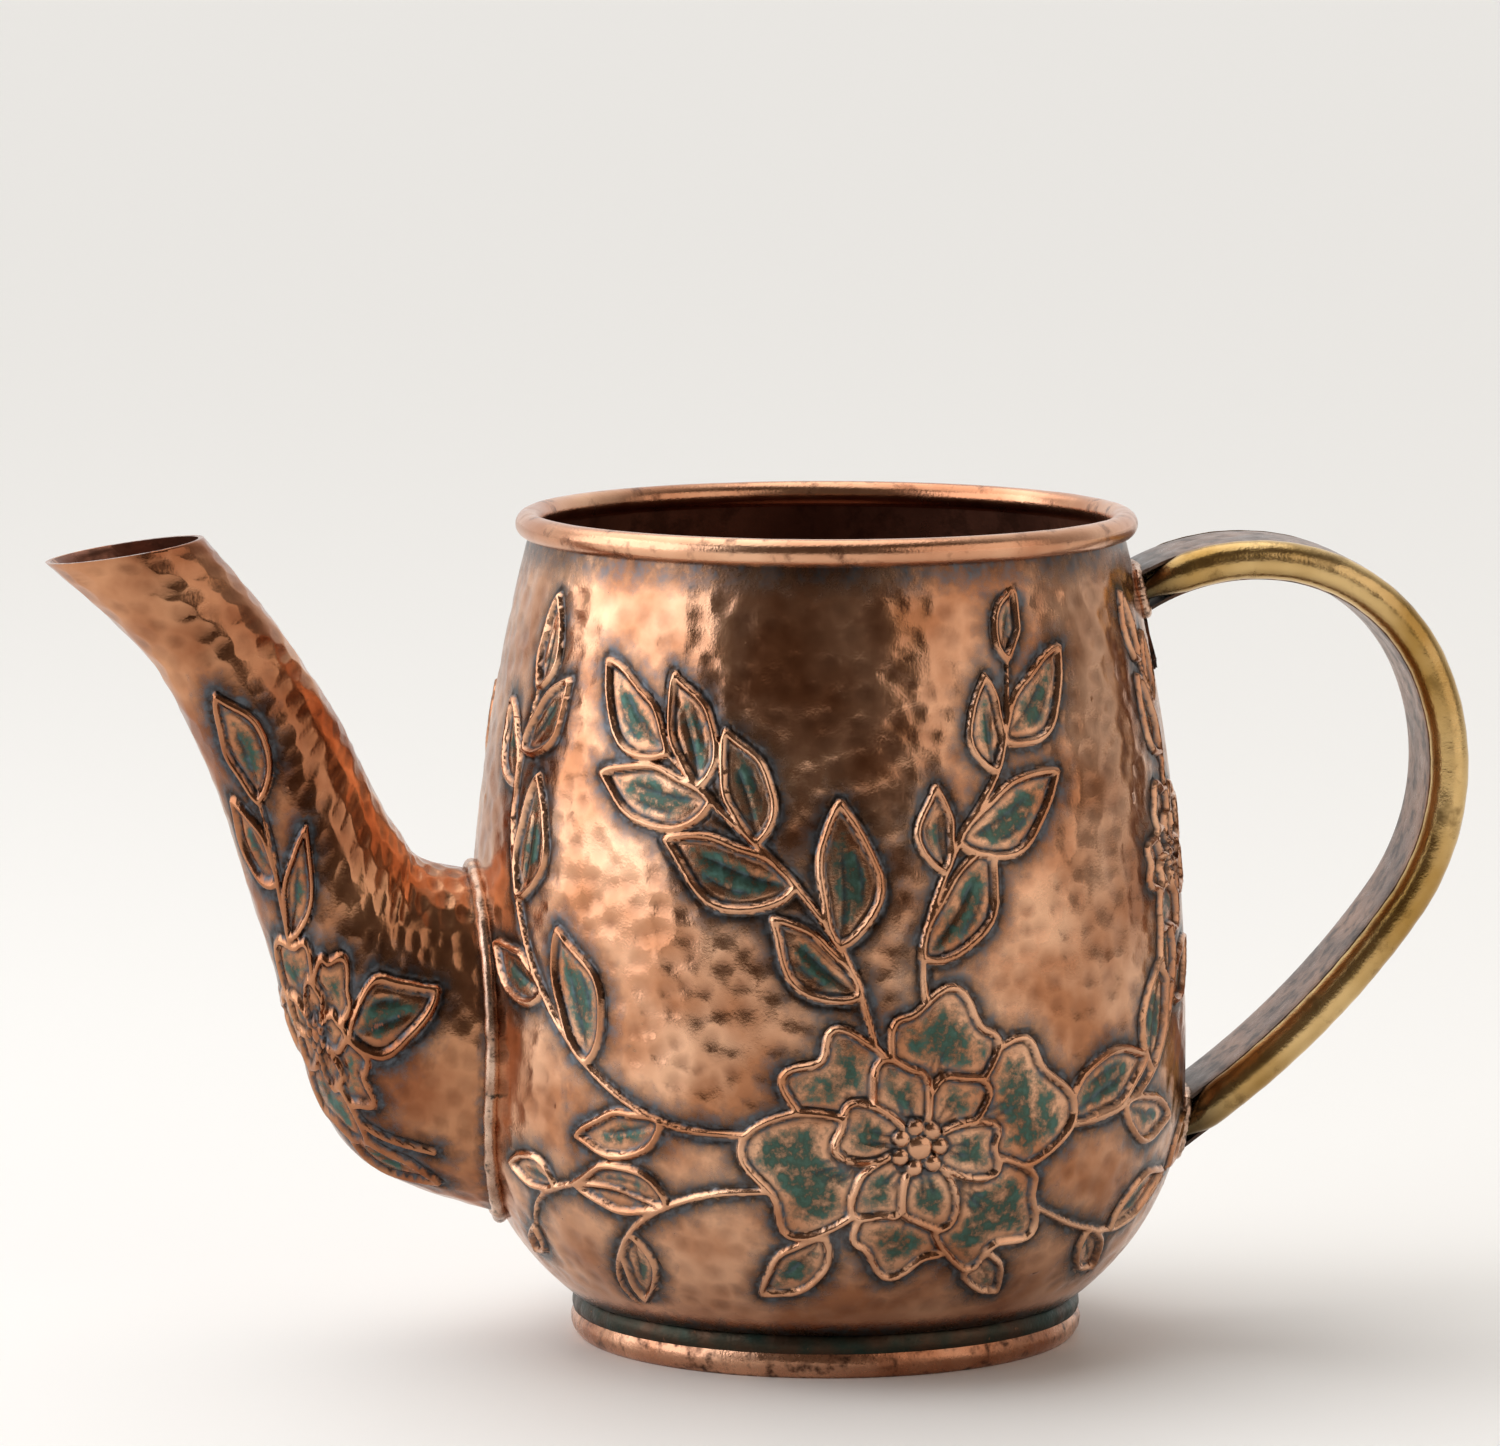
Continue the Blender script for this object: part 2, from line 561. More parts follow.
# what the barrel and the spout share

# how far under the outer face, in mm, the inner wall's finish begins, and the angle that stays a sharp edge
shell = dict(insideFrom=0.86, shadeAngle=82)


def inMm(box):
    return [[value / mm for value in corner] for corner in box]


def shellPiece(name, rows, faces):
    # rows run up the outer face and down the inner one, and the fine grid is then thinned
    piece = gridPiece(name, np.vstack(rows + [rows[0][:1]]))
    triangles = 2 * len(piece.data.polygons)
    if triangles > faces:
        applyModifier(piece, "DECIMATE", ratio=faces / triangles)
    return piece


def finishShell(piece, fields, buried, outside, inside):
    # the relief carries its patina, and the inner wall takes the second material
    storeValues(piece, **{name: fields[name] for name in reliefFields})
    piece.data.materials.clear()
    piece.data.materials.append(outside)
    piece.data.materials.append(inside)
    corners = np.empty(len(piece.data.loops), np.int32)
    piece.data.loops.foreach_get("vertex_index", corners)
    first = np.empty(len(piece.data.polygons), np.int32)
    piece.data.polygons.foreach_get("loop_start", first)
    innerWall = buried[corners[first]] > shell["insideFrom"]
    piece.data.polygons.foreach_set("material_index", innerWall.astype(np.int32))
    smoothShade(piece, shell["shadeAngle"])


# the barrel

shellLow, shellHigh = inMm(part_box("body_shell"))
axisX = (shellLow[0] + shellHigh[0]) / 2

barrel = dict(
    belly=(shellHigh[1] - shellLow[1]) / 2, beltLow=50.0, beltHigh=58.0, lowerArc=52.0, upperArc=397.0,
    bottom=shellLow[2], top=156.9, sheet=1.0, patchRadius=70.0, patchPitch=0.35,
    plainBelow=7.0, plainAbove=153.5, creaseBelow=(3, 10), creaseAbove=(147.5, 156.5), crease=0.75,
    insideBlows=0.6,
    step=0.46, insideStep=1.6, faces=176000)
barrelBlows = dict(size=5.4, depth=0.26, uneven=0.09, seed=11)


def wallAt(height, depth=0.0):
    # The wall's radius, height and slope at a distance measured up along it, depth mm under its face.
    upper = np.clip((height - barrel["beltHigh"]) / barrel["upperArc"], 0, None)
    lower = np.clip((barrel["beltLow"] - height) / barrel["lowerArc"], 0, None)
    slope = upper - lower
    radius = barrel["belly"] - barrel["upperArc"] * (1 - np.cos(upper))
    radius = radius - barrel["lowerArc"] * (1 - np.cos(lower))
    level = np.clip(height, barrel["beltLow"], barrel["beltHigh"])
    level = level + barrel["upperArc"] * np.sin(upper) - barrel["lowerArc"] * np.sin(lower)
    return radius - depth * np.cos(slope), level - depth * np.sin(slope), slope


def upWall(level):
    # the distance up along the wall at a level above the ground
    upper = np.arcsin(np.clip((level - barrel["beltHigh"]) / barrel["upperArc"], 0, 1)) * barrel["upperArc"]
    lower = np.arcsin(np.clip((barrel["beltLow"] - level) / barrel["lowerArc"], 0, 1)) * barrel["lowerArc"]
    return np.clip(level, barrel["beltLow"], barrel["beltHigh"]) + upper - lower


def barrelPatch():
    patch = newPatch((-112.0, 0.0), (112.0, 160.0), barrel["patchPitch"])
    vine(patch, [(0, 66), (-6, 84), (-18, 100), (-32, 112), (-44, 122)],
         [(0.16, 1, 22), (0.3, -1, 27), (0.48, 1, 28), (0.64, -1, 22), (0.8, 1, 26), (0.86, -1, 22),
          (1, 1, 24)])
    vine(patch, [(10, 68), (9, 86), (16, 104), (27, 120), (31, 140)],
         [(0.22, -1, 26), (0.44, 1, 16), (0.52, -1, 27), (0.72, 1, 18), (0.8, -1, 24), (1, 1, 14)])
    vine(patch, [(-18, 50), (-42, 52), (-62, 64), (-78, 84), (-86, 108), (-82, 132)],
         [(0.2, 1, 20), (0.36, -1, 26), (0.5, 1, 20), (0.66, -1, 24), (0.84, 1, 18), (0.9, -1, 20),
          (1, -1, 18)])
    vine(patch, [(-14, 40), (-34, 38), (-50, 30), (-60, 16), (-58, 5)],
         [(0.42, -1, 22), (0.62, 1, 18)])
    vine(patch, [(-42, 35), (-58, 38), (-74, 34), (-84, 24)], [(0.6, -1, 15), (1, 1, 10)], 0.8)
    vine(patch, [(32, 52), (48, 50), (66, 56), (78, 72), (82, 90)],
         [(0.12, 1, 26), (0.34, -1, 20), (0.5, 1, 24), (0.72, -1, 18), (0.76, 1, 18)])
    vine(patch, [(30, 36), (48, 28), (66, 26), (84, 36)], [(0.4, -1, 16), (0.55, 1, 20), (1, 1, 18)], 0.8)
    vine(patch, [(82, 104), (84, 120), (78, 136)], [(0.4, 1, 18), (0.7, -1, 14), (1, 1, 14)], 0.8)
    leaf(patch, (-10, 30), 232, 20, 9.5, -20)
    leaf(patch, (22, 26), 300, 15, 7.5, 25)
    blossom(patch, (82, 97), 14, 5, 40)
    blossom(patch, (8, 48), 29, 6, 18)
    return finishPatch(patch)


def patchAround(turn):
    # The front is drawn on the patch and the back is its mirror image. turn is 0 at the front.
    across = np.where(np.abs(turn) > math.pi / 2, np.sign(turn) * math.pi - turn, turn)
    return across * barrel["patchRadius"]


def barrelDishes(turn, height):
    return hammerDishes(turn + math.pi, height, wallAt(height)[0], lambda h: wallAt(h)[0], barrelBlows)


def barrelFields(patch, turn, height):
    fields = readPatch(patch, patchAround(turn), height)
    depth, dish, tone = barrelDishes(turn, height)
    band = ease(barrel["plainBelow"], barrel["plainBelow"] + 4, height)
    band = band * (1 - ease(barrel["plainAbove"] - 3, barrel["plainAbove"], height))
    fields["height"] = (fields["height"] + fields["plain"] * depth) * band
    fields["dish"] = dishShade(dish, tone) * fields["plain"] * band
    # the lowest and highest bands stay dark, where the foot and the rim meet the wall
    crease = np.maximum(1 - ease(*barrel["creaseBelow"], height), ease(*barrel["creaseAbove"], height))
    fields["patina"] = np.maximum(fields["patina"] * band, barrel["crease"] * crease)
    return fields


def makeBarrel(patch):
    low, high = upWall(barrel["bottom"]), upWall(barrel["top"])
    columns = int(2 * math.pi * barrel["belly"] / barrel["step"]) + 1
    turn = np.linspace(-math.pi, math.pi, columns)
    outer = np.linspace(low, high, int((high - low) / barrel["step"]))
    inner = np.linspace(high, low, int((high - low) / barrel["insideStep"]))
    turns, heights = np.meshgrid(turn, outer)
    relief = barrelFields(patch, turns, heights)["height"]
    insideTurns, insideHeights = np.meshgrid(turn, inner)
    under = barrel["sheet"] - barrel["insideBlows"] * barrelDishes(insideTurns, insideHeights)[0]
    rows = []
    for angles, levels, depth in ((turns, heights, -relief), (insideTurns, insideHeights, under)):
        radius, level = wallAt(levels, depth)[:2]
        rows.append(np.stack([axisX + radius * np.sin(angles), -radius * np.cos(angles), level], -1))
    return shellPiece("barrel", rows, barrel["faces"])


def finishBarrel(piece, patch, outside, inside):
    # the fields are worked out again, because the thinned mesh has other vertices
    places = placesOf(piece)
    dx, dy = places[:, 0] - axisX, places[:, 1]
    turn = np.arctan2(dx, -dy)
    height = upWall(places[:, 2])
    buried = wallAt(height)[0] - np.hypot(dx, dy)
    finishShell(piece, barrelFields(patch, turn, height), buried, outside, inside)
    place(piece, "copper_barrel", "body_shell")


# the spout and its solder

spout = dict(
    # ellipses across it from the root, inside the barrel, to the mouth: the centre from the barrel's axis and
    # above the ground, the tilt of the long axis in degrees, and the long and the short width
    rings=[(-60.0, 57.0, 89.0, 67.0, 42.4), (-84.5, 64.9, 77.9, 59.8, 40.0), (-93.5, 79.7, 63.7, 45.4, 34.5),
           (-99.9, 96.0, 58.6, 37.6, 30.0), (-107.6, 116.5, 41.0, 28.0, 25.7), (-118.0, 135.7, 27.5, 24.0, 23.6),
           (-125.9, 145.3, 17.5, 25.8, 23.8), (-135.75, 155.2, 8.6, 30.65, 25.0)],
    sheet=1.0, girth=170, patchPitch=0.35, rootPatina=0.7,
    step=0.46, insideStep=1.6, faces=120000)
spoutBlows = dict(size=5.0, depth=0.23, uneven=0.08, seed=23)
spoutRings = np.array(spout["rings"])
spoutLast = len(spoutRings) - 1


def spoutSize(along, field):
    # a smooth curve through the rings' sizes; along counts rings from the root
    values = spoutRings[:, field]
    before = np.clip(np.floor(along).astype(int), 0, spoutLast - 1)
    part = along - before
    square, cube = part ** 2, part ** 3
    weights = ((-cube + 2 * square - part) / 2, (3 * cube - 5 * square + 2) / 2,
               (-3 * cube + 4 * square + part) / 2, (cube - square) / 2)
    return sum(weight * values[np.clip(before + shift, 0, spoutLast)]
               for shift, weight in zip((-1, 0, 1, 2), weights))


def spoutAt(along, turn, depth=0.0):
    # turn is 0 on the side that faces up and towards the barrel, and -90 degrees at the front
    tilt = np.radians(spoutSize(along, 2))
    tall = spoutSize(along, 3) / 2 - depth
    wide = spoutSize(along, 4) / 2 - depth
    reach = tall * np.cos(turn)
    return np.stack([axisX + spoutSize(along, 0) + reach * np.cos(tilt), wide * np.sin(turn),
                     spoutSize(along, 1) + reach * np.sin(tilt)], -1)


def outsideWall(places):
    # how far outside the barrel's face places are
    return np.hypot(places[..., 0] - axisX, places[..., 1]) - wallAt(upWall(places[..., 2]))[0]


def leavesWall(samples, gaps, under):
    # along each column, where a line of samples last comes out of the barrel's wall
    buried = gaps < -under
    last = len(samples) - 2 - np.argmax(buried[:-1][::-1], axis=0)
    columns = np.arange(gaps.shape[1])
    before, after = gaps[last, columns] + under, gaps[last + 1, columns] + under
    return samples[last] + (samples[last + 1] - samples[last]) * before / (before - after)


spoutSamples = np.linspace(0, spoutLast, 900)
spoutMiddle = np.stack([spoutSize(spoutSamples, 0), spoutSize(spoutSamples, 1)], -1)
spoutRun = np.concatenate([[0], np.cumsum(np.linalg.norm(np.diff(spoutMiddle, axis=0), axis=1))])


def spoutRadius(run):
    along = np.interp(run, spoutRun, spoutSamples)
    return (spoutSize(along, 3) + spoutSize(along, 4)) / 4


def spoutPatch():
    patch = newPatch((0.0, -50.0), (spoutRun[-1] + 2, 50.0), spout["patchPitch"])
    vine(patch, [(16, -20), (34, -21), (54, -15), (70, -9), (80, -7)],
         [(0.66, 1, 17), (0.78, -1, 16), (1, 1, 20)])
    leaf(patch, (36, -10), 122, 24, 10, 30)
    leaf(patch, (30, -26), 196, 16, 7.5, -22)
    blossom(patch, (42, -18), 14.5, 5, 10)
    return finishPatch(patch)


def spoutFields(patch, turn, run, root):
    # the far side mirrors the near side
    radius = spoutRadius(run)
    fields = readPatch(patch, run, (math.pi / 2 - np.abs(turn)) * radius)
    depth, dish, tone = hammerDishes(turn + math.pi, run, radius, spoutRadius, spoutBlows)
    band = ease(0.5, 4, run - root) * (1 - ease(-2.5, -0.4, run - spoutRun[-1]))
    fields["height"] = (fields["height"] + fields["plain"] * depth) * band
    fields["dish"] = dishShade(dish, tone) * fields["plain"] * band
    fields["patina"] = np.maximum(fields["patina"], spout["rootPatina"] * (1 - ease(1.5, 5.5, run - root)))
    fields["polish"] = np.maximum(fields["polish"], ease(-1.2, -0.2, run - spoutRun[-1]))
    return fields


def spoutRoot(turn, depth=0.0, under=0.25):
    # where the spout's surface is this far under the barrel's face, as a run along its middle
    samples = np.linspace(0, 2.2, 240)
    along, turns = np.meshgrid(samples, turn, indexing="ij")
    found = leavesWall(samples, outsideWall(spoutAt(along, turns, depth)), under)
    return np.interp(found, spoutSamples, spoutRun)


def makeSpout(patch):
    turn = np.linspace(-math.pi, math.pi, int(spout["girth"] / spout["step"]) + 1)
    rows = []
    for depth, step in ((0.0, spout["step"]), (spout["sheet"], spout["insideStep"])):
        root = spoutRoot(turn, depth)
        share = np.linspace(0, 1, int((spoutRun[-1] - root.mean()) / step))[:, None]
        run = root + (spoutRun[-1] - root) * share
        turns = np.broadcast_to(turn, run.shape)
        along = np.interp(run, spoutRun, spoutSamples)
        relief = spoutFields(patch, turns, run, root)["height"] if depth == 0 else 0.0
        surface = spoutAt(along, turns, depth - relief)
        rows.append(surface if depth == 0 else surface[::-1])
    return shellPiece("spout", rows, spout["faces"])


def fromRing(x, z, tilt, number):
    # how far places are from a ring's plane, and from its centre along its long axis
    dx, dz = x - spoutMiddle[number, 0], z - spoutMiddle[number, 1]
    cos, sin = np.cos(tilt[number]), np.sin(tilt[number])
    return dz * cos - dx * sin, dx * cos + dz * sin


def spoutPlaces(piece):
    # finds each place again as a turn and a run along the spout: nearest ring first, then its plane
    places = placesOf(piece)
    tilt = np.radians(spoutSize(spoutSamples, 2))
    x, z = places[:, 0] - axisX, places[:, 2]
    offset = np.full(len(x), 1e3)
    best = np.zeros(len(x), int)
    for number in range(0, len(spoutSamples), 3):
        across, reach = fromRing(x, z, tilt, number)
        tall = spoutSize(spoutSamples[number:number + 1], 3)[0] / 2
        score = np.abs(across) + np.clip(np.abs(reach) - tall - 1.5, 0, None)
        nearer = score < offset
        best[nearer] = number
        offset[nearer] = score[nearer]
    reach = fromRing(x, z, tilt, best)[1]
    tall, wide = spoutSize(spoutSamples[best], 3) / 2, spoutSize(spoutSamples[best], 4) / 2
    turn = np.arctan2(places[:, 1] / wide, reach / tall)
    buried = 1 - np.hypot(places[:, 1] / wide, reach / tall)
    return turn, spoutRun[best], buried * (tall + wide) / 2


def finishSpout(piece, patch, outside, inside):
    turn, run, buried = spoutPlaces(piece)
    columns = np.linspace(-math.pi, math.pi, 181)
    root = np.interp(turn, columns, spoutRoot(columns))
    finishShell(piece, spoutFields(patch, turn, run, root), buried, outside, inside)
    place(piece, "copper_spout", "spout_shell")


def pierceBarrel(piece):
    # one oval hole in the wall, the size of the spout's inside
    along, turn = np.meshgrid(np.linspace(0, 1.1, 8), np.linspace(-math.pi, math.pi, 97), indexing="ij")
    rings = spoutAt(along, turn, spout["sheet"])
    ends = [np.broadcast_to(ring.mean(0), ring.shape)[None] for ring in (rings[0], rings[-1])]
    cutter = gridPiece("hole", np.vstack([ends[0], rings, ends[1]]))
    applyModifier(piece, "BOOLEAN", object=cutter, operation="DIFFERENCE", solver="MANIFOLD")
    bpy.data.objects.remove(cutter, do_unlink=True)


solder = dict(
    radius=1.4, handleRadius=1.15, uneven=0.15, clearOfWall=0.6, clearOfSpout=0.55, around=14,
    columns=300)


def solderRun(name, loop, radius, seed):
    # a fillet of solder along a closed line, thick and thin as it flowed
    count = len(loop)
    ahead = np.roll(loop, -1, 0) - np.roll(loop, 1, 0)
    ahead /= np.linalg.norm(ahead, axis=1)[:, None]
    out = loop - loop.mean(0)
    out -= (out * ahead).sum(1)[:, None] * ahead
    out /= np.linalg.norm(out, axis=1)[:, None]
    side = np.cross(ahead, out)
    turn = np.linspace(0, 2 * math.pi, solder["around"] + 1)
    progress = 2 * math.pi * np.arange(count) / count
    size = radius * (1 + wander(progress, seed, (3, 7, 13, 22, 37), solder["uneven"] * 2))
    lumps = 1 + 0.03 * np.sin(progress[:, None] * 29 + 2 * np.sin(turn)) * np.cos(progress[:, None] * 17)
    rings = loop[:, None] + size[:, None, None] * lumps[..., None] * (
        np.cos(turn)[None, :, None] * out[:, None] + np.sin(turn)[None, :, None] * side[:, None])
    return gridPiece(name, np.concatenate([rings, rings[:1]]))


# the rim and the foot

rim = dict(radius=57.66, roll=2.6, sheet=1.0, columns=260, around=32, uneven=0.16, dip=0.18)
foot = dict(
    # the inner and outer radius of the collar and of the ring, at their top and their foot
    collarTop=(47.3, 48.7), collarFoot=(47.9, 49.3), ringTop=(45.3, 49.3), ringFoot=(46.2, 48.4),
    hollow=0.55, ringMiddle=48.9, ringInside=0.7,
    columns=300, uneven=0.22, most=0.02, ripple=0.06, levelBelow=(0.3, 1.5))


def makeRim():
    level = shellHigh[2] - rim["roll"]
    bpy.ops.object.select_all(action="DESELECT")
    bpy.ops.mesh.primitive_torus_add(
        location=(axisX * mm, 0, level * mm), major_radius=rim["radius"] * mm, minor_radius=rim["roll"] * mm,
        major_segments=rim["columns"], minor_segments=rim["around"])
    piece = bpy.context.object
    piece.name = "rim_roll"
    bpy.ops.object.transform_apply(location=True, rotation=True, scale=True)
    places = placesOf(piece)
    dx, dy = places[:, 0] - axisX, places[:, 1]
    turn = np.arctan2(dy, dx)
    swell = wander(turn, 5, (2, 5, 9, 17, 31), rim["uneven"])
    height = level + wander(turn, 8, (2, 3, 7), rim["dip"])
    middle = np.stack([axisX + rim["radius"] * np.cos(turn), rim["radius"] * np.sin(turn), height], -1)
    places = middle + (places - middle) * (1 + np.minimum(swell, 0) / rim["roll"])[:, None]
    movePlaces(piece, places)
    # the sheet is rolled round a wire, so the roll is hollow
    applyModifier(piece, "SOLIDIFY", thickness=rim["sheet"] * mm, offset=-1.0)
    smoothShade(piece)
    return piece


def spunRing(name, section, seed):
    # a loop of (radius, level) points, spun once round the barrel's axis, with a hand-worked unevenness
    bpy.ops.object.select_all(action="DESELECT")
    bpy.ops.mesh.primitive_circle_add(vertices=len(section), radius=1, location=(0, 0, 0))
    piece = bpy.context.object
    piece.name = name
    movePlaces(piece, np.array([(axisX + radius, 0, level) for radius, level in section]))
    bpy.ops.object.mode_set(mode="EDIT")
    bpy.ops.mesh.select_all(action="SELECT")
    bpy.ops.mesh.spin(steps=foot["columns"], angle=2 * math.pi, center=(axisX * mm, 0, 0), axis=(0, 0, 1))
    bpy.ops.object.mode_set(mode="OBJECT")
    tidyMesh(piece)
    places = placesOf(piece)
    dx, dy = places[:, 0] - axisX, places[:, 1]
    turn = np.arctan2(dy, dx)
    radius = np.hypot(dx, dy)
    change = np.minimum(wander(turn, seed, (3, 8, 15, 28, 47), foot["uneven"]), foot["most"])
    across, up = turn * 41 + places[:, 2] * 1.7, turn * 29 - places[:, 2]
    change = change + foot["ripple"] * np.sin(across) * np.sin(up)
    change = change * ease(*foot["levelBelow"], places[:, 2])  # the edge that it stands on stays flat
    places[:, 0] = axisX + dx * (1 + change / radius)
    places[:, 1] = dy * (1 + change / radius)
    movePlaces(piece, places)
    smoothShade(piece, 50)
    return piece


def arcPoints(first, last, bulge, count):
    # points on an arc between two places; bulge is its height to the left of the chord
    first, last = np.array(first, float), np.array(last, float)
    chord = last - first
    left = np.array([-chord[1], chord[0]]) / np.linalg.norm(chord)
    share = np.linspace(0, 1, count)[:, None]
    return first + chord * share + left * bulge * 4 * share * (1 - share)


def makeFoot():
    low, high = inMm(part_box("foot_bead"))
    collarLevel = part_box("foot_collar")[1][2] / mm
    (topIn, topOut), (footIn, footOut) = foot["collarTop"], foot["collarFoot"]
    collar = np.vstack([arcPoints((topOut, collarLevel), (footOut, high[2]), foot["hollow"], 9),
                        [(footIn, high[2]), (topIn, collarLevel)]])
    (topIn, topOut), (footIn, footOut) = foot["ringTop"], foot["ringFoot"]
    bulge = (high[1] - low[1]) / 2 - foot["ringMiddle"]
    bead = np.vstack([arcPoints((footOut, 0.0), (topOut, high[2]), -bulge, 11),
                      arcPoints((topIn, high[2]), (footIn, 0.0), -foot["ringInside"], 7)])
    return spunRing("foot_collar_skin", collar, 31), spunRing("foot_ring", bead, 37)


# the handle

handle = dict(
    # the line between its strips: corners from the barrel's axis and above the ground, with the bends
    corners=[(51.9, 139.9, 0.0), (72.8, 152.9, 43.6), (110.0, 148.3, 36.6), (127.7, 103.4, 47.9),
             (97.1, 60.9, 166.4), (57.6, 31.6, 0.0)],
    strapHalf=9.75, bar=3.8, strip=1.0, innerFace=-4.1, pinchStart=(0.4, 11.0), pinchEnd=(0.42, 9.0),
    barRipple=0.012, ripples=(0.05, 0.04), tarnish=0.85, tarnishReach=(1.0, 13.0), farFromEnd=999.0,
    rows=330)


def handleLine(step=0.5):
    # straight runs joined by arcs
    corners = [np.array([axisX + x, z]) for x, z, _ in handle["corners"]]
    points = [corners[0]]
    for number in range(1, len(corners) - 1):
        back = corners[number - 1] - corners[number]
        ahead = corners[number + 1] - corners[number]
        back, ahead = back / np.linalg.norm(back), ahead / np.linalg.norm(ahead)
        half = math.acos(np.clip(back @ ahead, -1, 1)) / 2
        bend = handle["corners"][number][2]
        start = corners[number] + back * bend / math.tan(half)
        towards = (back + ahead) / np.linalg.norm(back + ahead)
        centre = corners[number] + towards * bend / math.sin(half)
        first = start - centre
        turned = math.pi - 2 * half
        sign = 1 if first[0] * ahead[1] - first[1] * ahead[0] > 0 else -1
        for angle in sign * np.linspace(0, turned, max(3, int(bend * turned / 1.5))):
            c, s = math.cos(angle), math.sin(angle)
            points.append(centre + np.array([c * first[0] - s * first[1], s * first[0] + c * first[1]]))
    points.append(corners[-1])
    points = np.array(points)
    run = np.concatenate([[0], np.cumsum(np.linalg.norm(np.diff(points, axis=0), axis=1))])
    even = np.arange(0, run[-1], step)
    line = np.stack([np.interp(even, run, points[:, 0]), np.interp(even, run, points[:, 1])], -1)
    return even, line


handleRun, handleMiddle = handleLine()
handleAhead = np.gradient(handleMiddle, axis=0)
handleAhead /= np.linalg.norm(handleAhead, axis=1)[:, None]


def handleAt(run, out, side):
    # out is away from the grip's gap and side is along Y
    x = np.interp(run, handleRun, handleMiddle[:, 0]) - out * np.interp(run, handleRun, handleAhead[:, 1])
    z = np.interp(run, handleRun, handleMiddle[:, 1]) + out * np.interp(run, handleRun, handleAhead[:, 0])
    return np.stack([x, side + 0 * x, z], -1)


def handleEnds(out, side, under=0.2):
    # where a line along the handle leaves the barrel's wall, and where it comes back to it
    last = len(handleRun) - 1
    start, end = np.arange(0, 60), np.arange(last, last - 90, -1)
    found = []
    for samples in (start, end):
        run = handleRun[samples]
        runs, outs = np.meshgrid(run, out, indexing="ij")
        sides = np.broadcast_to(side, outs.shape)
        found.append(leavesWall(run, outsideWall(handleAt(runs, outs, sides)), under))
    return found


def sweepHandle(name, section):
    # section(fromStart, fromEnd) gives a closed loop of (out, side) points
    loop = section(0.0, handle["farFromEnd"])
    starts = handleEnds(loop[:, 0], loop[:, 1])[0]
    loop = section(handle["farFromEnd"], 0.0)
    ends = handleEnds(loop[:, 0], loop[:, 1])[1]
    rows = []
    for share in np.linspace(0, 1, handle["rows"]):
        run = starts + (ends - starts) * share
        length = ends.mean() - starts.mean()
        loop = section(share * length, (1 - share) * length)
        rows.append(handleAt(run, loop[:, 0], loop[:, 1]))
    rows = np.array(rows)
    caps = [np.broadcast_to(row.mean(0), row.shape)[None] for row in (rows[0], rows[-1])]
    return gridPiece(name, np.vstack([caps[0], rows, caps[1]]))


def pinch(fromStart, fromEnd):
    # the bars are dressed down where they meet the barrel: to a share of their size, over a length
    ends = (*handle["pinchStart"], fromStart), (*handle["pinchEnd"], fromEnd)
    return min(narrow + (1 - narrow) * ease(0, length, away) for narrow, length, away in ends)


def barSection(side):
    def section(fromStart, fromEnd):
        radius = handle["bar"] * pinch(fromStart, fromEnd)
        ripple = 1 + math.sin(fromStart * 0.9) * math.sin(fromStart * 0.37 + side)
        radius *= 1 - handle["barRipple"] * ripple
        angle = np.linspace(-math.pi / 2, math.pi / 2, 25)
        out = np.concatenate([radius * np.sin(angle), radius * np.array([0.6, 0.2, -0.2, -0.6, -1])])
        across = np.concatenate([radius * np.cos(angle), np.zeros(5)])
        return np.stack([out, side * (handle["strapHalf"] + across)], -1)
    return section


def stripSection(low, seed):
    def section(fromStart, fromEnd):
        half = handle["strapHalf"] - 0.02
        across = np.linspace(-half, half, 33)
        edge = 1 - (across / half) ** 8
        ripple = handle["ripples"][0] * np.sin(fromStart * 1.15 + seed) * np.cos(across * 0.62 + seed)
        ripple += handle["ripples"][1] * np.sin(fromStart * 0.51 - across * 0.9)
        top = low + handle["strip"] * (0.8 + 0.2 * edge) + np.minimum(ripple, 0.02) * edge
        bottom = low + handle["strip"] * 0.2 * (1 - edge)
        loop = np.concatenate([np.stack([top, across], -1), np.stack([bottom, across], -1)[::-1]])
        return np.vstack([loop, loop[:1]])
    return section


def shadeHandle(piece):
    # tarnish at both ends, by the barrel
    away = outsideWall(placesOf(piece))
    storeValues(piece, shade=handle["tarnish"] * (1 - ease(*handle["tarnishReach"], away)))


def makeHandle():
    pieces = dict(
        handle_outer_band=(stripSection(handle["bar"] - handle["strip"], 1.0), "copper_strap",
                           "handle_outer_strip"),
        handle_inner_band=(stripSection(handle["innerFace"], 2.0), "copper_strap", "handle_inner_strip"),
        handle_bar_front=(barSection(-1), "brass_edge", "handle_edge_front"),
        handle_bar_rear=(barSection(1), "brass_edge", "handle_edge_rear"))
    made = {}
    for name, (section, slot, node) in pieces.items():
        piece = sweepHandle(name, section)
        shadeHandle(piece)
        smoothShade(piece, 50)
        place(piece, slot, node)
        made[name] = piece
    return made


def gripOutline(count=150):
    # the outline of the whole grip at its ends, with rounded corners
    angle = np.linspace(0, 2 * math.pi, count, endpoint=False)
    half = handle["strapHalf"] + handle["bar"] * handle["pinchStart"][0]
    corner = (np.abs(np.cos(angle)) ** 5 + np.abs(np.sin(angle)) ** 5) ** -0.2
    out = (handle["bar"] - handle["innerFace"]) / 2 * np.sin(angle) * corner - 0.15
    return out, half * np.cos(angle) * corner


def gripLoops():
    out, side = gripOutline()
    starts, ends = handleEnds(out, side, -solder["clearOfWall"])
    return handleAt(starts, out, side), handleAt(ends, out, side)


tongue = dict(length=0.86, ragged=(0.12, 0.05), rounding=0.16, taper=0.2, lift=0.25, curl=0.5, sheet=0.7)


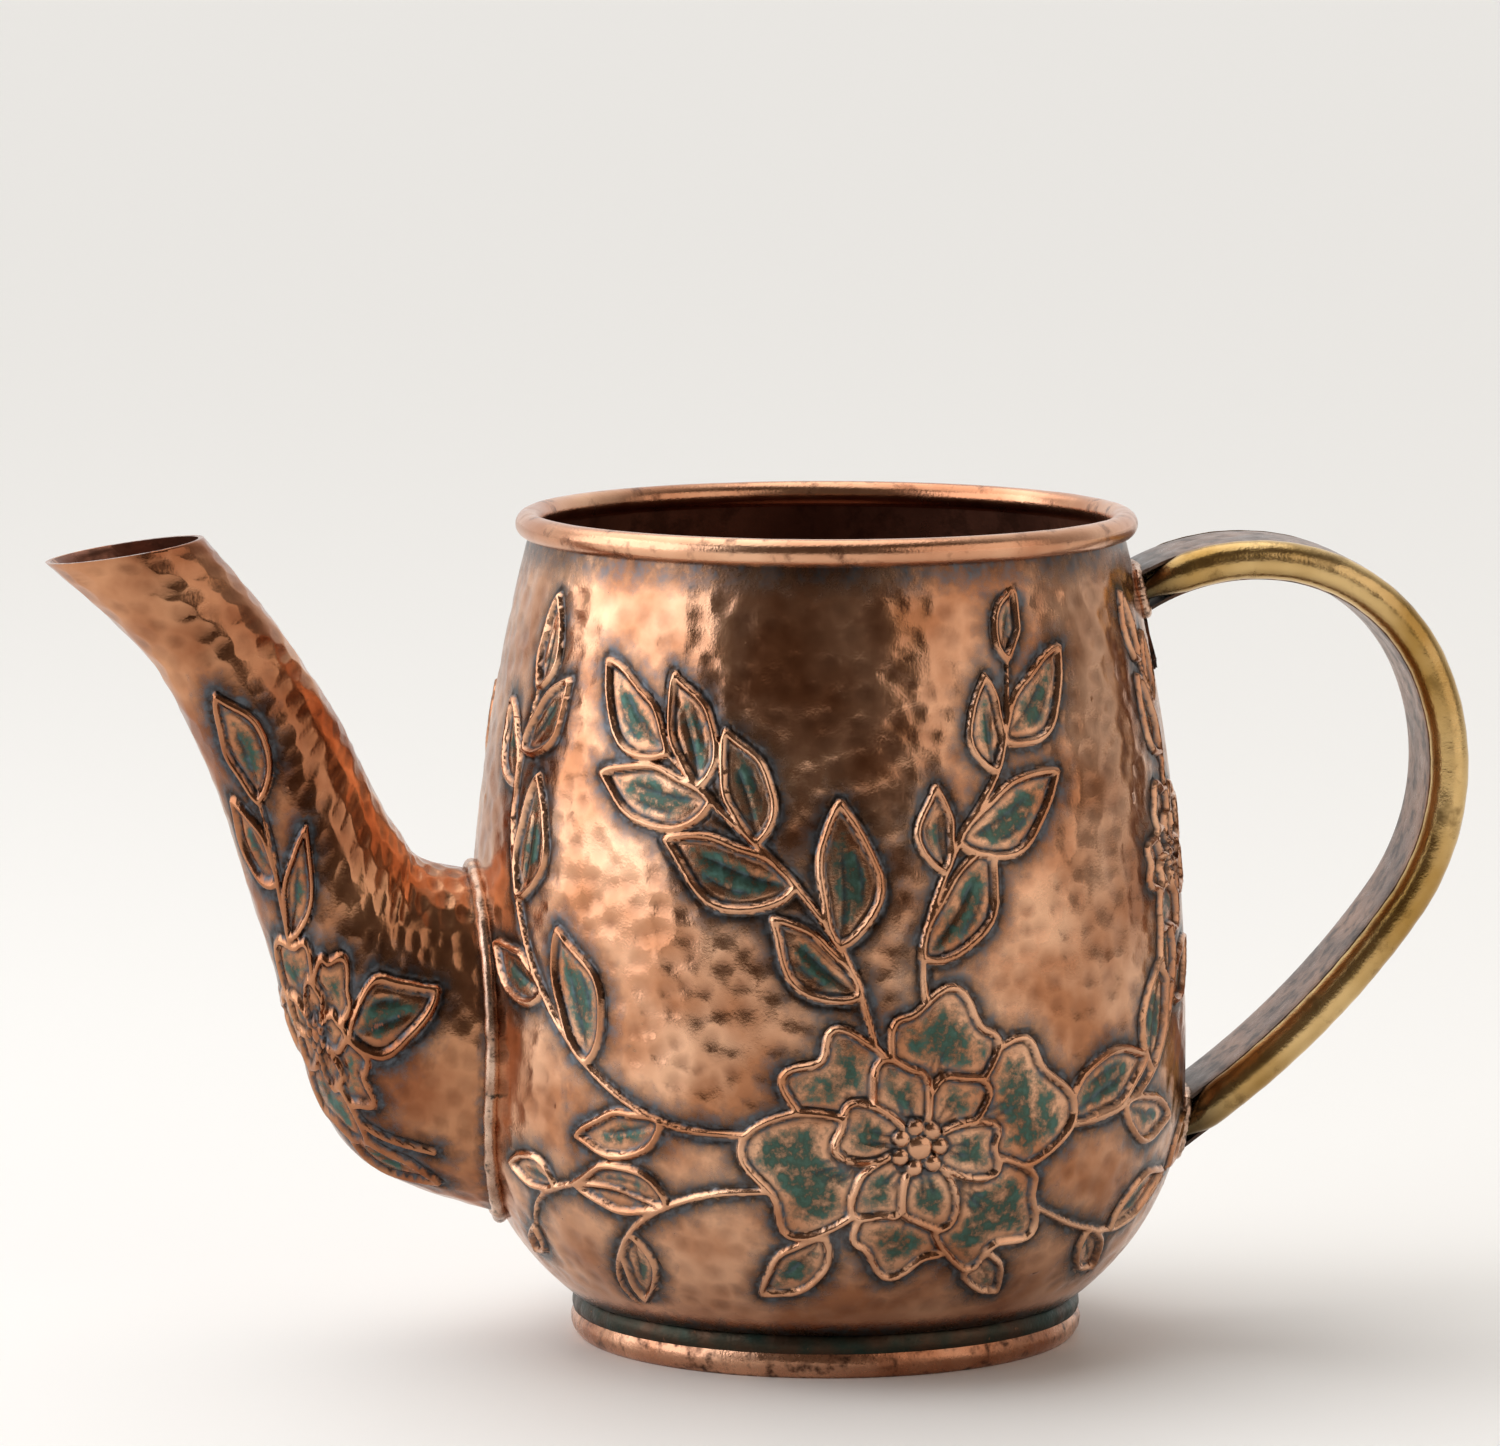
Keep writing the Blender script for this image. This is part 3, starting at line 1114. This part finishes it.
def makeTongue(name, node, seed):
    # a ragged tongue of thin copper, beaten down on the wall below the joint
    low, high = inMm(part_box(node))
    half = (high[1] - low[1]) / 2
    across, down = np.meshgrid(np.linspace(-1, 1, 41), np.linspace(0, 1, 40))
    coarse, fine = tongue["ragged"]
    ragged = wander(across * 2, seed, (1, 3, 5, 8), coarse) + wander(across * 2, seed + 1, (13, 19), fine)
    reach = tongue["length"] + ragged - tongue["rounding"] * across ** 2
    level = high[2] - (high[2] - low[2]) * down * reach
    side = half * across * (1 - tongue["taper"] * down + wander(down * 3, seed + 2, (2, 5, 9), fine))
    lift = tongue["lift"] + tongue["curl"] * down ** 2 + wander(down * 3 + across, seed + 3, (2, 4), coarse)
    radius = wallAt(upWall(level))[0] + lift
    angle = side / radius
    sheet = np.stack([axisX + radius * np.cos(angle), radius * np.sin(angle), level], -1)
    piece = gridPiece(name, sheet)
    applyModifier(piece, "SOLIDIFY", thickness=tongue["sheet"] * mm, offset=0.0)
    tidyMesh(piece)
    smoothShade(piece, 40)
    return piece


# finishes of the plainer pieces

rolledCopper = dict(  # copper sheet rolled over a wire and burnished: the brightest, smoothest copper
    tones=("#DFAE8C", "#BB8160"), tarnish="#4A2619", tarnishFrom=0.56, tarnishMost=0.75, cloud=24.0, spot=5.0,
    pit=0.5, bump=0.25, roughness=(0.16, 0.3))
footCopper = dict(  # the same, knocked and spotted by standing on stone
    tones=("#D6A484", "#A66E50"), tarnish="#33201A", tarnishFrom=0.53, tarnishMost=0.85, cloud=18.0, spot=3.2,
    pit=0.6, bump=0.4, roughness=(0.2, 0.38))
collarCopper = dict(  # copper that is never rubbed: dark brown and green patina with a few bright flecks
    tones=("#2C3A33", "#4B3A2E"), tarnish="#B07B5B", tarnishFrom=0.66, tarnishMost=0.8, cloud=7.0, spot=2.2,
    pit=0.7, bump=0.5, roughness=(0.34, 0.55))
insideCopper = dict(  # the unpolished inner face: deep brown oxide that still shines a little
    tones=("#9C6650", "#744938"), tarnish="#432619", tarnishFrom=0.5, tarnishMost=0.6, cloud=20.0, spot=6.0,
    pit=0.8, bump=0.35, roughness=(0.26, 0.42), metallic=0.75)
seamSolder = dict(  # soft solder, copper-washed by the patina, with black flux pits
    tones=("#D2B29C", "#A5826D"), tarnish="#24292A", tarnishFrom=0.56, tarnishMost=0.9, cloud=6.0, spot=1.8,
    pit=0.6, bump=0.4, roughness=(0.2, 0.36))
insideSolder = dict(  # the same solder, gone dark where water stands on it
    seamSolder, tones=("#8D7462", "#5F4A3E"), tarnishFrom=0.5, roughness=(0.32, 0.5))
agedBrass = dict(  # half-round brass bar, handled bright: greenish gold with brown in the creases
    tones=("#D3B37C", "#A58145"), tarnish="#5E4520", tarnishFrom=0.55, tarnishMost=0.6, cloud=22.0, spot=7.0,
    pit=0.6, bump=0.3, roughness=(0.17, 0.31), shade="#38352A")
strapCopper = dict(  # flat copper strap, planished and greyed by handling
    tones=("#8F6850", "#614536"), tarnish="#2C2422", tarnishFrom=0.5, tarnishMost=0.75, cloud=12.0, spot=3.5,
    pit=0.5, bump=0.4, roughness=(0.24, 0.4), shade="#3A3634")
tongueCopper = dict(  # thin copper left in the patina, nearly black
    tones=("#4B2D22", "#2E2420"), tarnish="#151717", tarnishFrom=0.5, tarnishMost=0.8, cloud=5.0, spot=1.8,
    pit=0.5, bump=0.7, roughness=(0.36, 0.55))
wireSteel = dict(  # drawn steel wire inside the roll
    tones=("#9A9A98", "#7D7C7A"), tarnish="#4A3A30", tarnishFrom=0.6, tarnishMost=0.5, cloud=9.0, spot=2.0,
    pit=0.3, bump=0.2, roughness=(0.3, 0.42))

copperOutside = hammeredCopper("hammered copper, patinated and rubbed", hammeredLook)
copperSpout = hammeredCopper("hammered copper, browner and less rubbed", spoutLook)
copperInside = workedMetal("oxidised copper inside", insideCopper)
solderFinish = workedMetal("soft solder, patinated", seamSolder)
finishes = dict(
    base_disc=copperInside, base_seam=workedMetal("old solder inside", insideSolder), foot_seam=solderFinish,
    rim_wire=workedMetal("drawn steel wire", wireSteel))
for node, finish in finishes.items():
    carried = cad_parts[node]
    carried.data.materials.clear()
    carried.data.materials.append(finish)
print("materials made")

flowers = barrelPatch()
barrelPiece = makeBarrel(flowers)
pierceBarrel(barrelPiece)
finishBarrel(barrelPiece, flowers, copperOutside, copperInside)
print("barrel: %d faces" % len(barrelPiece.data.polygons))

spoutFlowers = spoutPatch()
spoutPiece = makeSpout(spoutFlowers)
finishSpout(spoutPiece, spoutFlowers, copperSpout, copperInside)
print("spout: %d faces" % len(spoutPiece.data.polygons))

seamTurns = np.linspace(-math.pi, math.pi, solder["columns"], endpoint=False)
# the solder lies in the corner, so no part of it comes through the sheet
seamRuns = spoutRoot(seamTurns, 0.0, -solder["clearOfWall"])
seamLoop = spoutAt(np.interp(seamRuns, spoutRun, spoutSamples), seamTurns, -solder["clearOfSpout"])
spoutSeam = solderRun("spout_solder", seamLoop, solder["radius"], 3)
handleLoops = gripLoops()
upperSeam = solderRun("handle_solder_top", handleLoops[0], solder["handleRadius"], 4)
lowerSeam = solderRun("handle_solder_foot", handleLoops[1], solder["handleRadius"], 6)
for piece, node in ((spoutSeam, "spout_seam"), (upperSeam, "handle_solder_upper"),
                    (lowerSeam, "handle_solder_lower")):
    piece.data.materials.append(solderFinish)
    smoothShade(piece)
    place(piece, "solder", node)
print("solder run")

rimPiece = makeRim()
rimPiece.data.materials.append(workedMetal("rolled and burnished copper", rolledCopper))
place(rimPiece, "copper_rim", "body_shell")
collarPiece, ringPiece = makeFoot()
collarPiece.data.materials.append(workedMetal("unrubbed copper collar", collarCopper))
place(collarPiece, "copper_collar", "foot_collar")
ringPiece.data.materials.append(workedMetal("knocked copper foot ring", footCopper))
place(ringPiece, "copper_foot", "foot_bead")
print("rim and foot made")

handlePieces = makeHandle()
brassFinish = workedMetal("aged brass bar", agedBrass)
strapFinish = workedMetal("planished copper strap", strapCopper)
for name, piece in handlePieces.items():
    piece.data.materials.append(brassFinish if "bar" in name else strapFinish)
tongueFinish = workedMetal("thin copper, black with patina", tongueCopper)
for name, node, seed in (("tongue_top", "handle_tab_upper", 51), ("tongue_foot", "handle_tab_lower", 57)):
    piece = makeTongue(name, node, seed)
    piece.data.materials.append(tongueFinish)
    place(piece, "copper_tongue", node)
print("handle made")


# floor, light and camera

stage = dict(size=30.0, floorTone="#F0EEEA", roughness=0.55, grain=3.0, bump=0.08, bumpDepth=0.2)


def addFloor():
    bpy.ops.object.select_all(action="DESELECT")
    bpy.ops.mesh.primitive_plane_add(size=stage["size"], location=(0, 0, 0))
    floor = bpy.context.object
    floor.name = "floor"
    material, tree, shader = newMaterial("matt pale floor")
    where = addNode(tree, "ShaderNodeTexCoord").outputs["Object"]
    grain = addNode(tree, "ShaderNodeTexNoise", {"Scale": perMetre(stage["grain"]), "Detail": 3.0},
                    {"Vector": where}).outputs["Fac"]
    bump = addNode(tree, "ShaderNodeBump", {"Strength": stage["bump"], "Distance": stage["bumpDepth"] * mm},
                   {"Height": grain}).outputs[0]
    tree.links.new(bump, shader.inputs["Normal"])
    shader.inputs["Base Color"].default_value = colour(stage["floorTone"])
    shader.inputs["Roughness"].default_value = stage["roughness"]
    floor.data.materials.append(material)


lamps = [  # soft boxes that stand on the floor: place, target, width, height, power and warmth
    dict(name="window left", at=(-1.2, -0.12, 0.6), to=(0, 0, 0.2), wide=1.4, tall=1.1, power=12.0,
         tone="#F6F9FF"),
    dict(name="wall right", at=(0.96, -0.76, 0.6), to=(0, 0, 0.2), wide=1.3, tall=1.1, power=4.6,
         tone="#FFF6EE")]
sun = dict(angle=70, strength=1.5, towards=(0.3, -0.25, -1.0))
sky = dict(dark="#5A5048", bright="#FAFAF9", between=(-0.25, 0.7), strength=1.05)
camera = dict(at=(-0.2024, -1.5268, 0.3133), ahead=(0.1295, 0.9837, -0.1247), lens=192)


def putInScene(name, data, at, towards):
    holder = bpy.data.objects.new(name, data)
    bpy.context.collection.objects.link(holder)
    holder.location = at
    holder.rotation_euler = Vector(towards).to_track_quat("-Z", "Y").to_euler()
    return holder


def addLamp(lamp):
    light = bpy.data.lights.new(lamp["name"], "AREA")
    light.shape = "RECTANGLE"
    light.size = lamp["wide"]
    light.size_y = lamp["tall"]
    light.energy = lamp["power"]
    light.color = colour(lamp["tone"])[:3]
    putInScene(lamp["name"], light, lamp["at"], np.array(lamp["to"]) - np.array(lamp["at"]))


def addSun():
    # an overcast skylight high at the back left
    light = bpy.data.lights.new("skylight", "SUN")
    light.angle = math.radians(sun["angle"])
    light.energy = sun["strength"]
    putInScene("skylight", light, (0, 0, 0), sun["towards"])


def addSky():
    # a bright room behind the can and a darker one in front of it
    world = bpy.data.worlds.new("room")
    bpy.context.scene.world = world
    world.use_nodes = True
    tree = world.node_tree
    tree.nodes.clear()
    way = addNode(tree, "ShaderNodeTexCoord").outputs["Generated"]
    parts = addNode(tree, "ShaderNodeSeparateXYZ", None, {0: way}).outputs
    dark, bright = sky["between"]
    ahead = addNode(tree, "ShaderNodeMapRange", {1: dark, 2: bright}, {0: parts[1]}).outputs[0]
    tone = addNode(tree, "ShaderNodeMix", {"data_type": "RGBA", 6: colour(sky["dark"]),
                                           7: colour(sky["bright"])}, {0: ahead}).outputs[2]
    shader = addNode(tree, "ShaderNodeBackground", {"Strength": sky["strength"]}, {"Color": tone}).outputs[0]
    addNode(tree, "ShaderNodeOutputWorld", None, {0: shader})


def addCamera():
    view = bpy.data.cameras.new("view")
    view.lens = camera["lens"]
    view.clip_start = 0.01
    bpy.context.scene.camera = putInScene("view", view, camera["at"], camera["ahead"])


addFloor()
for lamp in lamps:
    addLamp(lamp)
addSun()
addSky()
addCamera()
bpy.context.scene.view_settings.view_transform = "Standard"
print("stage set")
